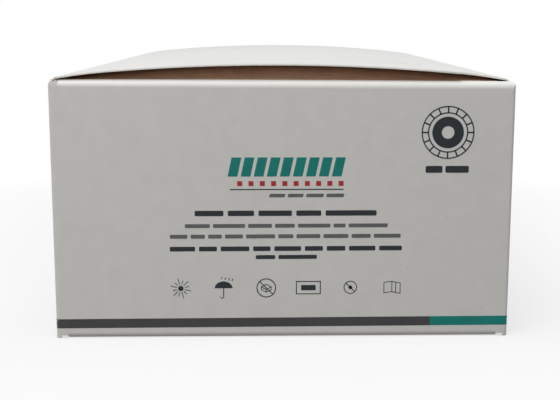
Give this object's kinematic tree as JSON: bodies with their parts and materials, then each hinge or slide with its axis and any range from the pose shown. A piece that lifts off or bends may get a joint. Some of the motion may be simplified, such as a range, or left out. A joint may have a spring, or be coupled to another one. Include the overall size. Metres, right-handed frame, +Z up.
{
  "type": "folding carton",
  "caption": "Low rectangular folding carton of white-coated board with a bowed hinged tuck lid, folded-in dust flaps and a glued interlocking bottom.",
  "frame": {"origin": "middle of the carton's footprint, on the plane it stands on", "axes": "+Z up; -Y is the printed end panel; the lid hinges along the -X wall and tucks in at the +X wall; Y is the long side"},
  "size_m": [0.125, 0.21, 0.0754],
  "materials": {
    "body_board": "satin",
    "lid_board": "satin"
  },
  "bodies": {
    "carton_body": {"carton_body": "body_board"},
    "lid": {"lid": "lid_board"}
  },
  "joints": [
    {"name": "lid_hinge", "type": "hinge", "parent": "carton_body", "child": "lid", "pos_m": [-0.0625, 0, 0.0689], "axis": [0, -1, 0], "range_deg": [0, 175]}
  ]
}
